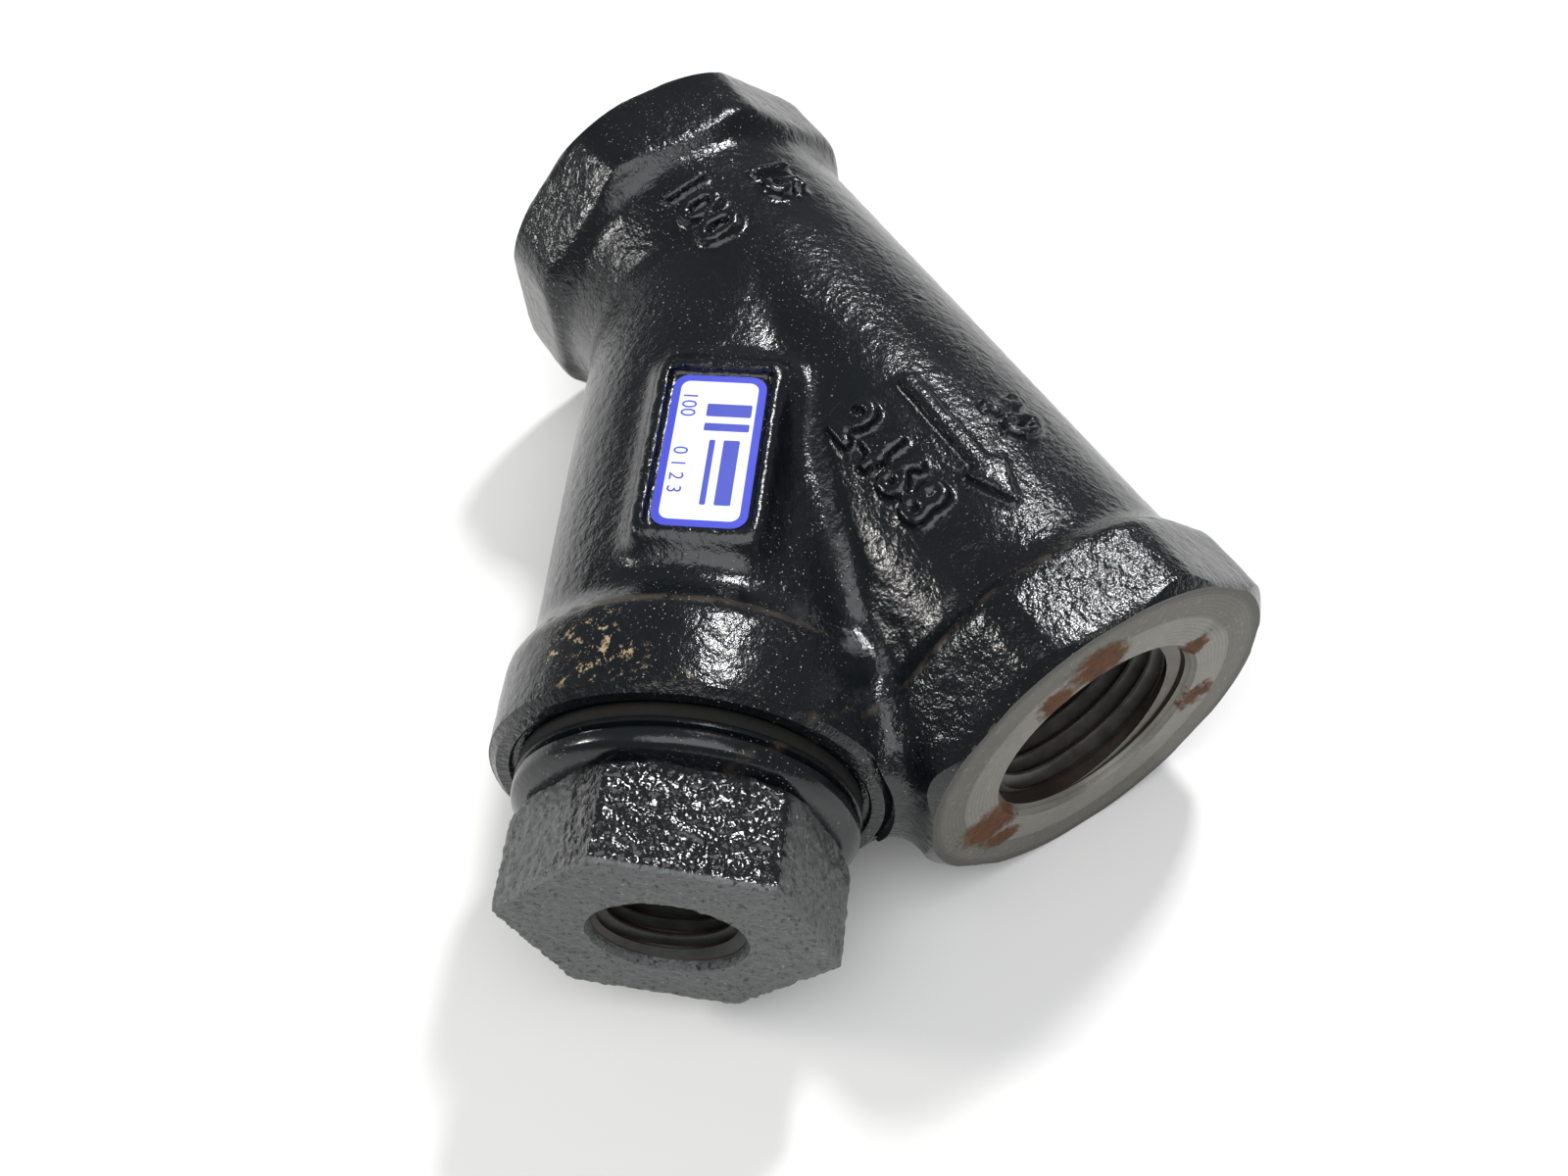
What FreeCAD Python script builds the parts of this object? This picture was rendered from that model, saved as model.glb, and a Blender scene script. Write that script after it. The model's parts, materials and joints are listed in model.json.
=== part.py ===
import FreeCAD, Part
import os
import re

import Sketcher

# Half inch screwed Y-pattern strainer: a cast body with a slanted branch, closed by a hexagon
# cap that holds a wire screen against a seat in the body. The frame's origin is the centre of
# the inlet face. +X is the way the fluid flows, +Z is up, and the branch leaves towards -Y in
# the horizontal plane. All lengths are in millimetres and angles in degrees.

# Lengths called "reach" run from the point where the run's and the branch's axes cross.
SIZES = {
    # run: the straight pipe way between the two threaded ends
    "faceToFace": 81.0,
    "inletReach": 21.5,
    "runRadius": 17.5,
    "hubRadius": 19.7,
    "hubFlat": 18.7,
    "hubLength": 8.6,
    "hubSlope": 2.4,
    "hubBevel": 0.9,
    # threaded ports of the run, as plain bores at the thread's pitch radius
    "portRadius": 9.9,
    "portDepth": 14.0,
    # ways inside the casting
    "wayRadius": 8.2,
    "coreRadius": 12.4,
    "partitionReach": 17.2,
    # branch and its collar
    "branchAngle": 38.2,
    "branchRoot": 17.4,
    "branchTip": 16.8,
    "collarReach": 55.9,
    "collarRadius": 18.7,
    "collarLength": 8.7,
    "collarSlope": 3.2,
    "collarBevel": 0.5,
    "chamberRadius": 13.0,
    # seat for the screen's inner end
    "seatReach": 8.0,
    "seatDepth": 3.0,
    "screenClearance": 0.15,
    # raised frame round the label
    "padStart": 19.4,
    "padLength": 21.1,
    "padWidth": 12.4,
    "padTop": 18.6,
    "padRoot": 12.0,
    "padRim": 1.25,
    "padRecess": 1.1,
    "labelMargin": 0.55,
    "labelThickness": 0.15,
    "labelCorner": 1.2,
    # cap and its gasket
    "capThread": 13.6,
    "threadClearance": 0.15,
    "capBoreDepth": 12.8,
    "shankLength": 11.4,
    "shankBevel": 0.8,
    "recessRadius": 16.4,
    "recessDepth": 0.5,
    "gasketOuter": 15.9,
    "gasketThickness": 1.5,
    "gasketClearance": 0.3,
    "flangeRadius": 15.9,
    "flangeThickness": 2.7,
    "grooveWidth": 0.6,
    "grooveDepth": 0.45,
    "grooveInset": 0.55,
    "hexFlat": 13.45,
    "hexLength": 10.6,
    "hexPhase": 11.7,
    "hexBevel": 1.6,
    "capPocket": 3.0,
    "pocketLedge": 1.45,
    "blowRadius": 6.25,
    "blowMouth": 7.2,
    "blowDepth": 10.2,
    # screen
    "screenOuter": 10.45,
    "bandThickness": 0.3,
    "bandLength": 3.0,
    "meshThickness": 0.75,
    "endPlay": 0.1,
    "seamAngle": 28.0,
}

doc = FreeCAD.newDocument("Strainer")
sheet = doc.addObject("Spreadsheet::Sheet", "Sizes")
for row, (alias, value) in enumerate(SIZES.items(), start=1):
    sheet.set(f"A{row}", alias)
    sheet.set(f"B{row}", str(value))
    sheet.setAlias(f"B{row}", alias)
doc.recompute()


def sized(formula):
    """Turns the size names in a formula into references to the sheet."""
    known = sorted(SIZES, key=len, reverse=True)
    return re.sub(r"\b(" + "|".join(known) + r")\b", r"Sizes.\1", formula)


def bind(thing, place, formula):
    thing.setExpression(place, sized(formula))


def new_body(label):
    body = doc.addObject("PartDesign::Body", label)
    body.Label = label
    return body


def on_branch(thing, placement="Placement"):
    """Lays a thing's own X axis along the branch, from the crossing of the two axes."""
    bind(thing, f"{placement}.Base.x", "inletReach")
    bind(thing, f"{placement}.Rotation.Angle", "-branchAngle * 1 deg")


def sketch_on(body, role, name):
    plane = next(item for item in body.Origin.OriginFeatures if item.Role == role)
    sketch = body.newObject("Sketcher::SketchObject", name)
    sketch.AttachmentSupport = (plane, [""])
    sketch.MapMode = "FlatFace"
    return sketch


def add_loop(sketch, corners):
    """Adds a closed outline whose corners are pairs of formulas, each tied to the sheet."""
    first = sketch.GeometryCount
    count = len(corners)
    # any rough ring of points will do here, because the formulas below place each one
    ring = FreeCAD.Vector(10 + first, 0, 0)
    turn = FreeCAD.Rotation(FreeCAD.Vector(0, 0, 1), 360.0 / count)
    for side in range(count):
        following = turn.multVec(ring)
        sketch.addGeometry(Part.LineSegment(ring, following), False)
        ring = following
    for side in range(count):
        here = first + side
        after = first + (side + 1) % count
        sketch.addConstraint(Sketcher.Constraint("Coincident", here, 2, after, 1))
    for side, corner in enumerate(corners):
        for kind, axis, formula in zip(("DistanceX", "DistanceY"), (-2, -1), corner):
            here = first + side
            if formula == "0":
                sketch.addConstraint(Sketcher.Constraint("PointOnObject", here, 1, axis))
            else:
                rule = Sketcher.Constraint(kind, -1, 1, here, 1, 1.0)
                number = sketch.addConstraint(rule)
                bind(sketch, f"Constraints[{number}]", formula)


def outline(body, name, corners, slanted=False):
    """An outline beside an axis: pairs of a place along it and a distance from it."""
    sketch = sketch_on(body, "XY_Plane", name)
    add_loop(sketch, corners)
    if slanted:
        on_branch(sketch, "AttachmentOffset")
    return sketch


def turned(body, kind, name, corners, slanted=False, angle=None):
    """Turns an outline about its axis, to add metal (Revolution) or remove it (Groove)."""
    sketch = outline(body, name + "Outline", corners, slanted)
    feature = body.newObject("PartDesign::" + kind, name)
    feature.Profile = sketch
    feature.ReferenceAxis = (sketch, ["H_Axis"])
    if angle:
        bind(feature, "Angle", angle)
        feature.Midplane = True
    else:
        feature.Angle = 360.0
    sketch.Visibility = False
    doc.recompute()
    return feature


def box_corners(start, length, half_width):
    return [(start, f"-({half_width})"), (f"{start} + {length}", f"-({half_width})"),
            (f"{start} + {length}", half_width), (start, half_width)]


def volume_change(body, before):
    doc.recompute()
    return body.Shape.Volume - before


def require_cut(body, before, name):
    if volume_change(body, before) >= 0:
        raise RuntimeError(f"{name} removed nothing")


def polygon(corner_count, flat):
    """Corners of a regular polygon with a corner on its first axis, from its flat distance."""
    corners = []
    for corner in range(corner_count):
        turn = f"{corner} * 360 deg / {corner_count}"
        size = f"{flat} / cos(180 deg / {corner_count})"
        corners.append((f"{size} * cos({turn})", f"{size} * sin({turn})"))
    return corners


# ---- body casting ----
casting = new_body("body_casting")

turned(casting, "Revolution", "RunBlank", [
    ("0", "0"),
    ("0", "hubRadius - hubBevel"),
    ("hubBevel", "hubRadius"),
    ("hubLength", "hubRadius"),
    ("hubLength + hubSlope", "runRadius"),
    ("faceToFace - hubLength - hubSlope", "runRadius"),
    ("faceToFace - hubLength", "hubRadius"),
    ("faceToFace - hubBevel", "hubRadius"),
    ("faceToFace", "hubRadius - hubBevel"),
    ("faceToFace", "0"),
])

# the eight flats of both hubs; the run between them is slimmer and stays round
flats = sketch_on(casting, "YZ_Plane", "HubFlatsOutline")
add_loop(flats, box_corners("-2 * hubRadius", "4 * hubRadius", "2 * hubRadius"))
add_loop(flats, polygon(8, "hubFlat"))
bind(flats, "AttachmentOffset.Rotation.Angle", "180 deg / 8")
before = casting.Shape.Volume
hub_flats = casting.newObject("PartDesign::Pocket", "HubFlats")
hub_flats.Profile = flats
hub_flats.Type = "Length"
hub_flats.Reversed = True
bind(hub_flats, "Length", "faceToFace")
require_cut(casting, before, "HubFlats")

turned(casting, "Revolution", "BranchBlank", [
    ("0", "0"),
    ("0", "branchRoot"),
    ("collarReach - collarLength - collarSlope", "branchTip"),
    ("collarReach - collarLength", "collarRadius"),
    ("collarReach - collarBevel", "collarRadius"),
    ("collarReach", "collarRadius - collarBevel"),
    ("collarReach", "0"),
], slanted=True)

pad_outline = sketch_on(casting, "XY_Plane", "PadOutline")
add_loop(pad_outline, box_corners("padStart", "padLength", "padWidth / 2"))
on_branch(pad_outline, "AttachmentOffset")
bind(pad_outline, "AttachmentOffset.Base.z", "padRoot")
pad = casting.newObject("PartDesign::Pad", "LabelPad")
pad.Profile = pad_outline
bind(pad, "Length", "padTop - padRoot")
doc.recompute()

before = casting.Shape.Volume
recess_outline = sketch_on(casting, "XY_Plane", "PadRecessOutline")
add_loop(recess_outline, box_corners("(padStart + padRim)", "(padLength - 2 * padRim)",
                                     "padWidth / 2 - padRim"))
on_branch(recess_outline, "AttachmentOffset")
bind(recess_outline, "AttachmentOffset.Base.z", "padTop")
recess = casting.newObject("PartDesign::Pocket", "PadRecess")
recess.Profile = recess_outline
bind(recess, "Length", "padRecess")
require_cut(casting, before, "PadRecess")

before = casting.Shape.Volume
turned(casting, "Groove", "InletWay", [
    ("0", "0"),
    ("0", "portRadius"),
    ("portDepth", "portRadius"),
    ("portDepth + portRadius - wayRadius", "wayRadius"),
    ("inletReach", "wayRadius"),
    ("inletReach", "0"),
])
require_cut(casting, before, "InletWay")

before = casting.Shape.Volume
turned(casting, "Groove", "OutletWay", [
    ("inletReach + partitionReach", "0"),
    ("inletReach + partitionReach", "coreRadius"),
    ("faceToFace - portDepth - coreRadius + portRadius", "coreRadius"),
    ("faceToFace - portDepth", "portRadius"),
    ("faceToFace", "portRadius"),
    ("faceToFace", "0"),
])
require_cut(casting, before, "OutletWay")

before = casting.Shape.Volume
THREAD_BORE = "capThread + threadClearance"
BORE_START = "collarReach - recessDepth - capBoreDepth"
turned(casting, "Groove", "BranchWay", [
    ("-wayRadius / 2", "0"),
    ("-wayRadius / 2", "wayRadius * 0.8"),
    ("0", "wayRadius"),
    ("seatReach", "wayRadius"),
    ("seatReach", "screenOuter + screenClearance"),
    ("seatReach + seatDepth", "screenOuter + screenClearance"),
    ("seatReach + seatDepth", "chamberRadius"),
    (BORE_START, "chamberRadius"),
    (BORE_START, THREAD_BORE),
    ("collarReach - recessDepth", THREAD_BORE),
    ("collarReach - recessDepth", "recessRadius"),
    ("collarReach", "recessRadius"),
    ("collarReach", "0"),
], slanted=True)
require_cut(casting, before, "BranchWay")

# ---- label, lying in the pad's recess ----
label = new_body("label_plate")
label_outline = sketch_on(label, "XY_Plane", "LabelOutline")
add_loop(label_outline, box_corners("(padStart + padRim + labelMargin)",
                                    "(padLength - 2 * padRim - 2 * labelMargin)",
                                    "padWidth / 2 - padRim - labelMargin"))
label_sheet = label.newObject("PartDesign::Pad", "LabelSheet")
label_sheet.Profile = label_outline
bind(label_sheet, "Length", "labelThickness")
doc.recompute()
upright = [f"Edge{number}" for number, edge in enumerate(label_sheet.Shape.Edges, start=1)
           if abs(edge.Vertexes[0].Z - edge.Vertexes[-1].Z) > 0.9 * edge.Length]
label_corners = label.newObject("PartDesign::Fillet", "LabelCorners")
label_corners.Base = (label_sheet, upright)
bind(label_corners, "Radius", "labelCorner")
on_branch(label)
bind(label, "Placement.Base.z", "padTop - padRecess")

# ---- gasket, between the collar's recess and the cap's flange ----
gasket = new_body("cap_gasket")
GASKET_START = "collarReach - recessDepth"
GASKET_END = "collarReach - recessDepth + gasketThickness"
turned(gasket, "Revolution", "GasketRing", [
    (GASKET_START, "capThread + gasketClearance"),
    (GASKET_START, "gasketOuter"),
    (GASKET_END, "gasketOuter"),
    (GASKET_END, "capThread + gasketClearance"),
])
on_branch(gasket)

# ---- cap ----
cap = new_body("hex_cap")
FLANGE_END = f"{GASKET_END} + flangeThickness"
SHANK_END = f"{GASKET_END} - shankLength"
CAP_END = f"{FLANGE_END} + hexLength"
turned(cap, "Revolution", "CapBlank", [
    (SHANK_END, "0"),
    (SHANK_END, "capThread - shankBevel"),
    (f"{SHANK_END} + shankBevel", "capThread"),
    (GASKET_END, "capThread"),
    (GASKET_END, "flangeRadius"),
    (f"{GASKET_END} + grooveInset", "flangeRadius"),
    (f"{GASKET_END} + grooveInset + grooveWidth / 2", "flangeRadius - grooveDepth"),
    (f"{GASKET_END} + grooveInset + grooveWidth", "flangeRadius"),
    (FLANGE_END, "flangeRadius"),
    (FLANGE_END, "0"),
])

hexagon = sketch_on(cap, "YZ_Plane", "HexagonOutline")
add_loop(hexagon, polygon(6, "hexFlat"))
bind(hexagon, "AttachmentOffset.Base.z", FLANGE_END)
bind(hexagon, "AttachmentOffset.Rotation.Angle", "-hexPhase * 1 deg")
head = cap.newObject("PartDesign::Pad", "Hexagon")
head.Profile = hexagon
bind(head, "Length", "hexLength")
doc.recompute()

before = cap.Shape.Volume
HEX_CORNER = "hexFlat / cos(30 deg)"
turned(cap, "Groove", "HexagonBevel", [
    (FLANGE_END, "hexFlat"),
    (f"{FLANGE_END} + 2 * hexBevel", f"2 * {HEX_CORNER} - hexFlat"),
    (FLANGE_END, f"2 * {HEX_CORNER} - hexFlat"),
])
require_cut(cap, before, "HexagonBevel")

before = cap.Shape.Volume
HOLLOW = "screenOuter - pocketLedge"
turned(cap, "Groove", "CapHollow", [
    (SHANK_END, "0"),
    (SHANK_END, "screenOuter + screenClearance"),
    (f"{SHANK_END} + capPocket", "screenOuter + screenClearance"),
    (f"{SHANK_END} + capPocket", HOLLOW),
    (f"{CAP_END} - blowDepth - ({HOLLOW}) + blowRadius", HOLLOW),
    (f"{CAP_END} - blowDepth", "blowRadius"),
    (f"{CAP_END} - blowMouth + blowRadius", "blowRadius"),
    (CAP_END, "blowMouth"),
    (CAP_END, "0"),
])
require_cut(cap, before, "CapHollow")
on_branch(cap)

# ---- screen: a wire cloth tube with a lapped seam and a binding band at each end ----
SCREEN_START = "seatReach + endPlay"
SCREEN_END = f"{SHANK_END} + capPocket - endPlay"
MESH_OUTER = "screenOuter - bandThickness"


def tube(body, name, start, end, inner, outer, angle=None):
    corners = [(start, inner), (start, outer), (end, outer), (end, inner)]
    turned(body, "Revolution", name, corners, angle=angle)
    on_branch(body)


mesh = new_body("screen_mesh")
tube(mesh, "MeshTube", SCREEN_START, SCREEN_END, f"{MESH_OUTER} - meshThickness", MESH_OUTER)

inner_band = new_body("screen_inner_band")
tube(inner_band, "InnerBand", SCREEN_START, f"{SCREEN_START} + bandLength",
     MESH_OUTER, "screenOuter")

outer_band = new_body("screen_outer_band")
tube(outer_band, "OuterBand", f"{SCREEN_END} - bandLength", SCREEN_END,
     MESH_OUTER, "screenOuter")

seam = new_body("screen_seam_strip")
tube(seam, "SeamStrip", f"{SCREEN_START} + bandLength", f"{SCREEN_END} - bandLength",
     MESH_OUTER, "screenOuter", angle="seamAngle * 1 deg")

# ---- checks and files ----
doc.recompute()
for item in doc.Objects:
    if "Invalid" in item.State or "Error" in item.State:
        raise RuntimeError(f"{item.Name} is {item.State}")

os.makedirs("parts", exist_ok=True)
for body in (item for item in doc.Objects if item.TypeId == "PartDesign::Body"):
    shape = body.Shape
    if shape.isNull() or not shape.isValid() or len(shape.Solids) != 1:
        raise RuntimeError(f"{body.Label} is not one sound solid")
    shape.exportStep(f"parts/{body.Label}.step")
    print(body.Label, round(shape.Volume, 1), shape.BoundBox)
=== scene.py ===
import json
import math

import bpy
from mathutils import Matrix, Vector


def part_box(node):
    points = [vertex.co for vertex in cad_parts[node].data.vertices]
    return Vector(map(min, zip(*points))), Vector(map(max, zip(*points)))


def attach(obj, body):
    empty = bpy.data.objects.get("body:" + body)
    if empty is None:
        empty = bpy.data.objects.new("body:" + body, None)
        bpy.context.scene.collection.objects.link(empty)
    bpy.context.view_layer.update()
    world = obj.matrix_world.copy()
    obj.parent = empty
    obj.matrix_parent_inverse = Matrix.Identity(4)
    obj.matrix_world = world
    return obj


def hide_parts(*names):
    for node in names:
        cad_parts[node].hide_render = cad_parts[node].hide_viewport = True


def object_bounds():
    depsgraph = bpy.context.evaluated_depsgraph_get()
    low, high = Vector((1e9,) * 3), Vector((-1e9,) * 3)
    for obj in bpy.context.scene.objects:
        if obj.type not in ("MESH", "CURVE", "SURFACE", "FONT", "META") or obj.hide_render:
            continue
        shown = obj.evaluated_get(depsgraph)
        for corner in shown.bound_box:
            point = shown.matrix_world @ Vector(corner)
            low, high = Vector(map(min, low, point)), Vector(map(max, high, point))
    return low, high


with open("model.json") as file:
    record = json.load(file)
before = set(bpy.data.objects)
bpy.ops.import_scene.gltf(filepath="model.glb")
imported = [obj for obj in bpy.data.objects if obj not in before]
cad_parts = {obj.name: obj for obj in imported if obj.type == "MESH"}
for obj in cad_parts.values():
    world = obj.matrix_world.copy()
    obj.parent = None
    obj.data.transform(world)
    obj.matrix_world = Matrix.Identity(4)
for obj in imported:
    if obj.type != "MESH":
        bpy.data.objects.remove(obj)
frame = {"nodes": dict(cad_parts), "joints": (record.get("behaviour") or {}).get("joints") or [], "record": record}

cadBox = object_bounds()
mm = 0.001
fullTurn = 2 * math.pi
# how much a taper pipe thread's radius shrinks over its length
pipeTaper = 1 / 32

# where things are, read from the frame
mounts = {mount["name"]: mount for mount in frame["record"]["mounts"]}
joints = {joint["name"]: joint for joint in frame["joints"]}
branchAxis = Vector(joints["screen_draw"]["axis"]).normalized()
blowOff = Vector(mounts["blow_off_port"]["pos_m"])
crossing = blowOff - branchAxis * (blowOff.y / branchAxis.y)
up = Vector((0, 0, 1))
across = up.cross(branchAxis)
branchFrame = Matrix.Translation(crossing) @ Matrix((branchAxis, across, up)).transposed().to_4x4()
inletFace = mounts["inlet_port"]["pos_m"][0]
outletFace = mounts["outlet_port"]["pos_m"][0]


def reach(node):
    # how far a node goes along the branch, from the crossing of the two axes
    places = [(vertex.co - crossing).dot(branchAxis) for vertex in frame["nodes"][node].data.vertices]
    return min(places), max(places)


def girth(node):
    # smallest and largest distance of a node's corners from the branch's axis
    places = [(vertex.co - crossing) for vertex in frame["nodes"][node].data.vertices]
    sizes = [(place - branchAxis * place.dot(branchAxis)).length for place in places]
    return min(sizes), max(sizes)


def inBranch(node):
    # a node's corners in the branch's own frame
    return [branchFrame.inverted() @ vertex.co for vertex in frame["nodes"][node].data.vertices]


gasketReach = reach("cap_gasket")
capReach = reach("hex_cap")
meshReach = reach("screen_mesh")
floorLevel = cadBox[0][2]


def deselectAll():
    if bpy.context.mode != "OBJECT":
        bpy.ops.object.mode_set(mode="OBJECT")
    bpy.ops.object.select_all(action="DESELECT")


def pick(piece):
    deselectAll()
    piece.select_set(True)
    bpy.context.view_layer.objects.active = piece
    return piece


def named(name):
    piece = bpy.context.active_object
    piece.name = name
    piece.data.name = name
    return piece


def settle(piece, matrix=None):
    # puts the piece's place into its mesh, and leaves its object at the origin
    pick(piece)
    if matrix:
        piece.matrix_world = matrix @ piece.matrix_world
    bpy.ops.object.transform_apply(location=True, rotation=True, scale=True)
    return piece


def modify(piece, kind, **settings):
    pick(piece)
    modifier = piece.modifiers.new(kind.lower(), kind)
    for key, value in settings.items():
        setattr(modifier, key, value)
    bpy.ops.object.modifier_apply(modifier=modifier.name)
    return piece


def join(pieces):
    deselectAll()
    for piece in pieces:
        piece.select_set(True)
    bpy.context.view_layer.objects.active = pieces[0]
    bpy.ops.object.join()
    return pieces[0]


def cut(piece, cutter, operation="DIFFERENCE"):
    modify(piece, "BOOLEAN", operation=operation, object=cutter, solver="EXACT")
    bpy.data.objects.remove(cutter)
    return piece


def rod(name, start, end, startRadius, endRadius, sides=96, phase=0.0):
    # a straight or tapered rod along X
    deselectAll()
    bpy.ops.mesh.primitive_cone_add(
        vertices=sides, radius1=startRadius, radius2=endRadius, depth=end - start,
        location=((start + end) / 2, 0, 0), rotation=(0, fullTurn / 4, 0))
    piece = settle(named(name))
    return settle(piece, Matrix.Rotation(phase, 4, "X"))


def pointAt(name, place):
    # a mesh of one selected point, ready to be extruded
    deselectAll()
    bpy.ops.mesh.primitive_plane_add(size=mm)
    piece = named(name)
    bpy.ops.object.mode_set(mode="EDIT")
    bpy.ops.mesh.select_mode(type="VERT")
    bpy.ops.mesh.select_all(action="SELECT")
    bpy.ops.mesh.merge(type="CENTER")
    bpy.ops.transform.translate(value=place)
    return piece


def turned(name, outline, steps=128, sweep=fullTurn, closed=False):
    # spins an outline of (along, radius) pairs about X
    piece = pointAt(name, (outline[0][0], 0, outline[0][1]))
    for (along, radius), (nextAlong, nextRadius) in zip(outline, outline[1:]):
        bpy.ops.mesh.extrude_region_move(
            TRANSFORM_OT_translate={"value": (nextAlong - along, 0, nextRadius - radius)})
    if closed:
        bpy.ops.mesh.select_all(action="DESELECT")
        bpy.ops.object.mode_set(mode="OBJECT")
        for index in (0, len(outline) - 1):
            piece.data.vertices[index].select = True
        bpy.ops.object.mode_set(mode="EDIT")
        bpy.ops.mesh.edge_face_add()
    bpy.ops.mesh.select_all(action="SELECT")
    bpy.ops.mesh.spin(steps=steps, angle=sweep, center=(0, 0, 0), axis=(1, 0, 0))
    bpy.ops.mesh.select_all(action="SELECT")
    bpy.ops.mesh.remove_doubles(threshold=mm / 200)
    bpy.ops.mesh.normals_make_consistent(inside=False)
    bpy.ops.object.mode_set(mode="OBJECT")
    return piece


def closeEnds(piece):
    # fills every open end, and turns all faces outwards
    pick(piece)
    bpy.ops.object.mode_set(mode="EDIT")
    bpy.ops.mesh.select_mode(type="VERT")
    bpy.ops.mesh.select_all(action="DESELECT")
    bpy.ops.mesh.select_non_manifold()
    bpy.ops.mesh.fill()
    bpy.ops.mesh.select_all(action="SELECT")
    bpy.ops.mesh.normals_make_consistent(inside=False)
    bpy.ops.object.mode_set(mode="OBJECT")
    return piece


def tidyMesh(piece):
    # merges what a converted text or curve leaves double
    pick(piece)
    bpy.ops.object.mode_set(mode="EDIT")
    bpy.ops.mesh.select_all(action="SELECT")
    bpy.ops.mesh.remove_doubles(threshold=mm / 500)
    bpy.ops.mesh.normals_make_consistent(inside=False)
    bpy.ops.object.mode_set(mode="OBJECT")
    return piece


def roundUprights(piece, height, offset, segments):
    # bevels the upright edges of a block
    pick(piece)
    bpy.ops.object.mode_set(mode="EDIT")
    bpy.ops.mesh.select_mode(type="EDGE")
    bpy.ops.mesh.select_all(action="DESELECT")
    bpy.ops.object.mode_set(mode="OBJECT")
    for edge in piece.data.edges:
        first, second = (piece.data.vertices[index].co for index in edge.vertices)
        edge.select = abs(first.z - second.z) > height / 2
    bpy.ops.object.mode_set(mode="EDIT")
    bpy.ops.mesh.bevel(offset=offset, segments=segments)
    bpy.ops.object.mode_set(mode="OBJECT")
    return piece


def smoothBy(piece, degrees):
    pick(piece)
    bpy.ops.object.shade_smooth_by_angle(angle=math.radians(degrees))
    return piece


def coat(piece, *materials):
    piece.data.materials.clear()
    for material in materials:
        piece.data.materials.append(material)
    return piece


print("frame read")

class Wave:
    # a socket that can be used in sums, so that shader maths reads as maths
    def __init__(self, tree, socket):
        self.tree = tree
        self.socket = socket

    def maths(self, operation, first, second=0.0):
        node = self.tree.nodes.new("ShaderNodeMath")
        node.operation = operation
        for place, value in zip(node.inputs, (first, second)):
            if isinstance(value, Wave):
                self.tree.links.new(value.socket, place)
            else:
                place.default_value = value
        return Wave(self.tree, node.outputs[0])

    def __add__(self, other):
        return self.maths("ADD", self, other)

    def __radd__(self, other):
        return self.maths("ADD", other, self)

    def __sub__(self, other):
        return self.maths("SUBTRACT", self, other)

    def __rsub__(self, other):
        return self.maths("SUBTRACT", other, self)

    def __mul__(self, other):
        return self.maths("MULTIPLY", self, other)

    def power(self, other):
        return self.maths("POWER", self, other)

    def sine(self):
        return self.maths("SINE", self)

    def size(self):
        return self.maths("ABSOLUTE", self)

    def atLeast(self, other):
        return self.maths("MAXIMUM", self, other)

    def atMost(self, other):
        return self.maths("MINIMUM", self, other)


class Finish:
    # one material, built from a few kinds of node
    def __init__(self, name):
        self.material = bpy.data.materials.new(name)
        self.material.use_nodes = True
        self.tree = self.material.node_tree
        self.shader = self.tree.nodes["Principled BSDF"]
        self.place = self.node("ShaderNodeTexCoord", {}, {}, "Object")

    def node(self, kind, settings, values, output=0):
        node = self.tree.nodes.new(kind)
        for key, value in settings.items():
            setattr(node, key, value)
        for key, value in values.items():
            if isinstance(value, Wave):
                self.tree.links.new(value.socket, node.inputs[key])
            else:
                node.inputs[key].default_value = value
        return Wave(self.tree, node.outputs[output])

    def split(self, place):
        node = self.node("ShaderNodeSeparateXYZ", {}, {"Vector": place}).socket.node
        return [Wave(self.tree, socket) for socket in node.outputs]

    def noise(self, scale, detail=2.0, roughness=0.5):
        return self.node("ShaderNodeTexNoise", {}, {
            "Vector": self.place, "Scale": scale, "Detail": detail, "Roughness": roughness})

    def cells(self, scale):
        return self.node("ShaderNodeTexVoronoi", {}, {"Vector": self.place, "Scale": scale})

    def step(self, value, low, high, start=0.0, end=1.0):
        return self.node("ShaderNodeMapRange", {"interpolation_type": "SMOOTHSTEP"}, {
            "Value": value, "From Min": low, "From Max": high, "To Min": start, "To Max": end})

    def mix(self, amount, first, second):
        return self.node("ShaderNodeMix", {"data_type": "RGBA"}, {
            0: amount, 6: self.colour(first), 7: self.colour(second)}, 2)

    def colour(self, value):
        return value if isinstance(value, Wave) else (*value, 1)

    def near(self, spot, radius, wobble):
        # 1 at a spot and 0 past a radius, with an uneven edge
        away = self.node("ShaderNodeVectorMath", {"operation": "DISTANCE"}, {
            0: self.place, 1: tuple(spot)}, "Value")
        return self.step(away + wobble, radius, radius * 0.55)

    def bump(self, height, distance, strength=1.0, under=None):
        values = {"Height": height, "Distance": distance, "Strength": strength}
        if under:
            values["Normal"] = under
        return self.node("ShaderNodeBump", {}, values)

    def give(self, **values):
        for key, value in values.items():
            place = self.shader.inputs[key.replace("_", " ")]
            if isinstance(value, Wave):
                self.tree.links.new(value.socket, place)
            else:
                place.default_value = value
        return self.material


def hubRust(finish):
    # rust blooms on the outlet's turned face, at places given round the run's axis
    wobble = (finish.noise(520, 6, 0.72) - 0.5) * (5.5 * mm)
    total = None
    for degrees, radius, size in rustSpots:
        turnBy = math.radians(degrees)
        spot = (outletFace, radius * math.cos(turnBy), radius * math.sin(turnBy))
        patch = finish.near(spot, size, wobble)
        total = patch if total is None else total.atLeast(patch)
    return total


rustSpots = [
    (96, 13.4 * mm, 3.6 * mm),
    (118, 12.4 * mm, 2.4 * mm),
    (206, 13.2 * mm, 4.0 * mm),
    (222, 14.2 * mm, 2.2 * mm),
    (340, 12.8 * mm, 2.2 * mm),
    (30, 11.8 * mm, 1.9 * mm),
]


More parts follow.
